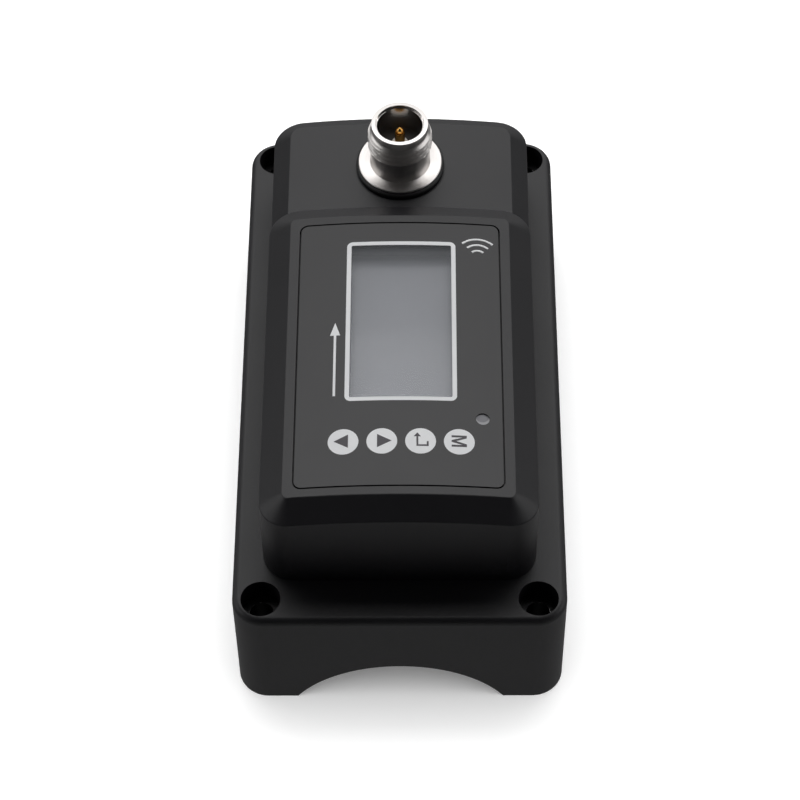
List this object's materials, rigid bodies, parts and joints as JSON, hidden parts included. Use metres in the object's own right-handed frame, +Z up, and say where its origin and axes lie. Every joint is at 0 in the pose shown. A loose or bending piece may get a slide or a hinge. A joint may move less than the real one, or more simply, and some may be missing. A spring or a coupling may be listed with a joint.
{
  "type": "clamp-on ultrasonic flow meter",
  "caption": "Compact clamp-on ultrasonic flow meter: black base with a pipe saddle and screw holes, crowned housing with display and touch keys, round plug connector behind",
  "frame": {"origin": "centre of the base's footprint, on the plane that the two lands beside the pipe saddle stand on", "axes": "+Z up out of the display, +Y along the pipe from the display towards the connector, +X to the right for a reader of the display"},
  "size_m": [0.0584, 0.11, 0.0538],
  "materials": {
    "black_casting": "fine-grained matte black coat on cast aluminium",
    "black_moulding": "fine-textured matte black moulding",
    "panel_film": "dark grey label plate, slightly glossy",
    "clear_window": "clear hard-coated lens",
    "white_print": "white ink",
    "lcd_glass": "unlit grey-blue liquid crystal cell",
    "grey_plastic": "plain grey moulding",
    "white_plastic": "plain white moulding",
    "frosted_plastic": "frosted clear acrylic",
    "circuit_board": "green solder mask on glass fibre laminate",
    "black_plastic": "black moulded plastic",
    "amber_film": "polyimide film",
    "acoustic_plastic": "natural high-temperature plastic",
    "piezo_ceramic": "silvered lead zirconate disc",
    "black_rubber": "black nitrile or silicone rubber",
    "stainless": "turned and brushed stainless steel",
    "gold_contact": "gold-plated brass",
    "plain_brass": "knurled brass, as turned",
    "nickel_steel": "bright zinc or nickel on steel",
    "wire": "red insulated wire",
    "led_white": "small white LED body"
  },
  "bodies": {
    "root": {"base_body": "black_casting", "upper_housing": "black_moulding", "front_panel": "panel_film", "display_window": "clear_window", "panel_print": "white_print", "lcd_spacer": "grey_plastic", "lcd_cell": "lcd_glass", "lcd_backlight": "white_plastic", "display_board": "circuit_board", "display_board_screws": "nickel_steel", "key_sensor_posts": "grey_plastic", "status_led": "led_white", "light_pipe": "frosted_plastic", "display_socket": "black_plastic", "main_socket": "black_plastic", "board_ribbon": "amber_film", "main_board": "circuit_board", "main_board_screws": "nickel_steel", "signal_processor": "black_plastic", "housing_gasket": "black_rubber", "housing_screws": "nickel_steel", "screw_inserts": "plain_brass", "front_transducer_wedge": "acoustic_plastic", "rear_transducer_wedge": "acoustic_plastic", "front_piezo_disc": "piezo_ceramic", "rear_piezo_disc": "piezo_ceramic", "front_damping_block": "black_rubber", "rear_damping_block": "black_rubber", "front_coupling_pad": "black_rubber", "rear_coupling_pad": "black_rubber", "front_sensor_lead": "wire", "rear_sensor_lead": "wire", "connector_shell": "stainless", "connector_seal": "black_rubber", "connector_insulator": "black_plastic", "pin_boss": "white_plastic", "contact_pin": "gold_contact", "lock_nut": "nickel_steel", "connector_lead": "wire"}
  },
  "joints": []
}
